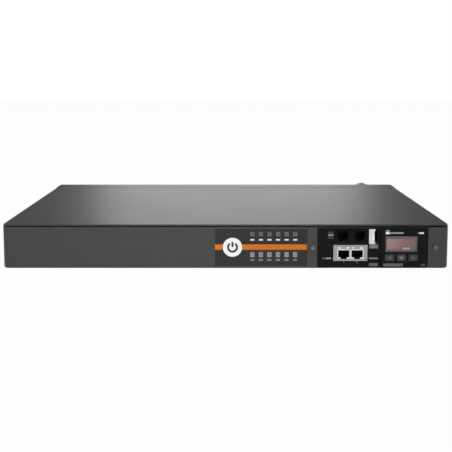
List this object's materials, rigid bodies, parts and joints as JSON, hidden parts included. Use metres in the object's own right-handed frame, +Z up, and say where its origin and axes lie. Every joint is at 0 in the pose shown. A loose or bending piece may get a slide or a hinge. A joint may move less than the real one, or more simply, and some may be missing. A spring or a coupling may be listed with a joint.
{
  "type": "rack power distribution unit",
  "caption": "Flat one-unit rack case with a row of appliance outlets at the rear and a metering module with jacks, display and keys at the front; shares out and meters power.",
  "frame": {"origin": "middle of the case's underside, halfway between the front and rear panels' outer faces", "axes": "+X to the right seen from the front, +Y to the rear, +Z up"},
  "size_m": [0.44, 0.2881, 0.0437],
  "materials": {
    "case_paint": "smooth satin charcoal paint",
    "screw_steel": "zinc plated",
    "label_film": "dark printed film",
    "accent_orange": "printed orange",
    "print_white": "printed white",
    "module_plastic": "black moulded plastic",
    "window_glass": "clear tinted window",
    "display_face": "display behind its window",
    "board": "coated circuit board",
    "key_rubber": "dark grey moulded key",
    "smoked_lens": "smoked light pipe",
    "led_lens": "pale light window",
    "jack_steel": "bright plated steel",
    "usb_plastic": "white moulded plastic",
    "contact_brass": "plated contact strip",
    "outlet_plastic": "black moulded outlet",
    "terminal_plastic": "grey moulded insulator",
    "gland_plastic": "black moulded gland",
    "gland_rubber": "soft sealing ring"
  },
  "bodies": {
    "unit": {"accent_stripe": "accent_orange", "base_tray": "case_paint", "board_standoffs": "screw_steel", "bus_support": "terminal_plastic", "case_screws": "screw_steel", "current_transformer": "terminal_plastic", "display_bezel": "module_plastic", "display_board": "board", "display_panel": "display_face", "display_window": "window_glass", "earth_bus": "contact_brass", "front_label": "label_film", "front_panel": "case_paint", "gland_body": "gland_plastic", "gland_dome": "gland_plastic", "gland_locknut": "gland_plastic", "jack_contacts": "contact_brass", "key_switches": "module_plastic", "line_bus": "contact_brass", "meter_board": "board", "meter_socket": "module_plastic", "module_board": "board", "module_connector": "module_plastic", "module_faceplate": "case_paint", "module_front": "module_plastic", "module_housing": "module_plastic", "module_screws": "screw_steel", "network_jack_insert": "module_plastic", "network_jack_shell": "jack_steel", "network_leds": "led_lens", "neutral_bus": "contact_brass", "outlet_01": "outlet_plastic", "outlet_02": "outlet_plastic", "outlet_03": "outlet_plastic", "outlet_04": "outlet_plastic", "outlet_05": "outlet_plastic", "outlet_06": "outlet_plastic", "outlet_07": "outlet_plastic", "outlet_08": "outlet_plastic", "outlet_09": "outlet_plastic", "outlet_10": "outlet_plastic", "outlet_11": "outlet_plastic", "outlet_12": "outlet_plastic", "power_supply": "module_plastic", "rear_panel": "case_paint", "roundel": "print_white", "sensor_jack_left": "module_plastic", "sensor_jack_right": "module_plastic", "status_lens": "smoked_lens", "terminal_block": "terminal_plastic", "top_cover": "case_paint", "usb_shell": "jack_steel", "usb_tongue": "usb_plastic"},
    "key_back": {"key_back": "key_rubber"},
    "key_select": {"key_select": "key_rubber"},
    "key_next": {"key_next": "key_rubber"}
  },
  "joints": [
    {"name": "key_back_press", "type": "slide", "parent": "unit", "child": "key_back", "axis": [0, 1, 0], "range_m": [0, 0.0008], "stiffness_N_per_m": 800},
    {"name": "key_select_press", "type": "slide", "parent": "unit", "child": "key_select", "axis": [0, 1, 0], "range_m": [0, 0.0008], "stiffness_N_per_m": 800},
    {"name": "key_next_press", "type": "slide", "parent": "unit", "child": "key_next", "axis": [0, 1, 0], "range_m": [0, 0.0008], "stiffness_N_per_m": 800}
  ]
}
